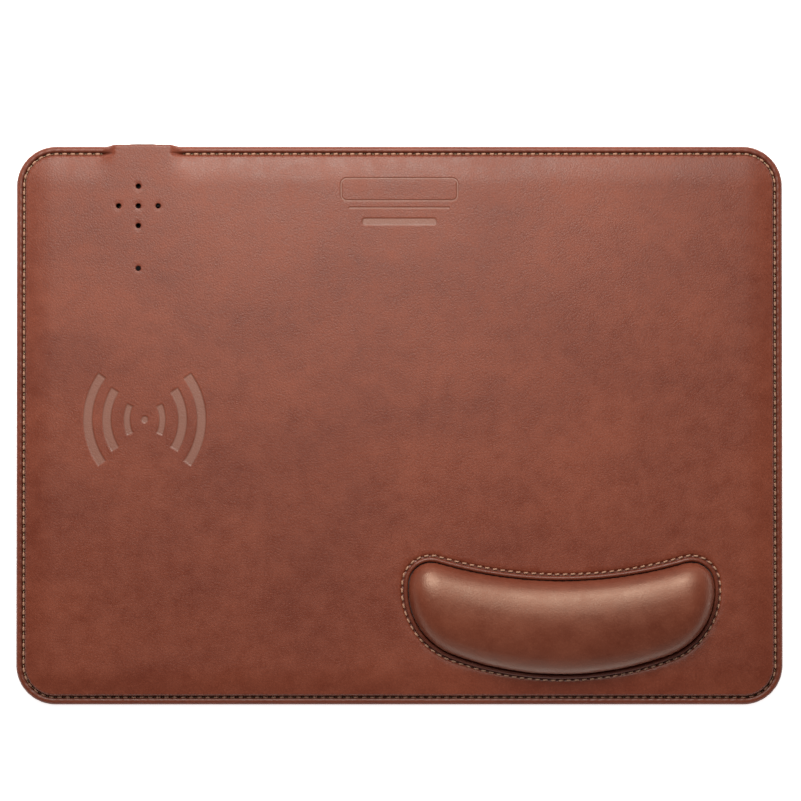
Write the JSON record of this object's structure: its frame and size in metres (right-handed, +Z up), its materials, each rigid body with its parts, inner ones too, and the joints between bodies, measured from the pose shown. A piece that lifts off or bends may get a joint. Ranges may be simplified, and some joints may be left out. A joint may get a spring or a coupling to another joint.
{
  "type": "wireless charging desk pad",
  "caption": "Flat leather desk pad with a wireless charging area, a rear power port, a stitched rim and a raised padded wrist rest.",
  "frame": {"origin": "centre of the pad's footprint on the desk, at the underside of the non-slip sheet", "axes": "+X to the right (wrist rest side), +Y to the back edge with the power port, +Z up"},
  "size_m": [0.35, 0.2558, 0.019],
  "materials": {
    "base_sheet": "matte",
    "stiffener_board": "matte",
    "foam_core": "matte",
    "top_leather": "satin",
    "perimeter_stitching": "satin",
    "wrist_foam": "matte",
    "wrist_cover": "satin",
    "wrist_piping": "satin",
    "wrist_piping_cord": "matte",
    "wrist_stitching": "satin",
    "housing_base": "matte",
    "housing_cover": "matte",
    "housing_screws": "satin",
    "port_bezel": "satin",
    "usb_shell": "gloss",
    "usb_tongue": "satin",
    "usb_contacts": "gloss",
    "main_pcb": "satin",
    "controller_chip": "matte",
    "power_transistors": "matte",
    "power_inductor": "matte",
    "resonant_capacitors": "satin",
    "passive_chips": "satin",
    "status_led": "gloss",
    "light_pipe": "gloss",
    "coil_pad": "matte",
    "ferrite_sheet": "satin",
    "coil_adhesive": "satin",
    "transmit_coil": "gloss",
    "coil_film": "gloss",
    "coil_leads": "satin",
    "temperature_sensor": "gloss",
    "solder_joints": "gloss"
  },
  "bodies": {
    "root": {"base_sheet": "base_sheet", "stiffener_board": "stiffener_board", "foam_core": "foam_core", "top_leather": "top_leather", "perimeter_stitching": "perimeter_stitching", "wrist_foam": "wrist_foam", "wrist_cover": "wrist_cover", "wrist_piping": "wrist_piping", "wrist_piping_cord": "wrist_piping_cord", "wrist_stitching": "wrist_stitching", "housing_base": "housing_base", "housing_cover": "housing_cover", "housing_screws": "housing_screws", "port_bezel": "port_bezel", "usb_shell": "usb_shell", "usb_tongue": "usb_tongue", "usb_contacts": "usb_contacts", "main_pcb": "main_pcb", "controller_chip": "controller_chip", "power_transistors": "power_transistors", "power_inductor": "power_inductor", "resonant_capacitors": "resonant_capacitors", "passive_chips": "passive_chips", "status_led": "status_led", "light_pipe": "light_pipe", "coil_pad": "coil_pad", "ferrite_sheet": "ferrite_sheet", "coil_adhesive": "coil_adhesive", "transmit_coil": "transmit_coil", "coil_film": "coil_film", "coil_leads": "coil_leads", "temperature_sensor": "temperature_sensor", "solder_joints": "solder_joints"}
  },
  "joints": []
}
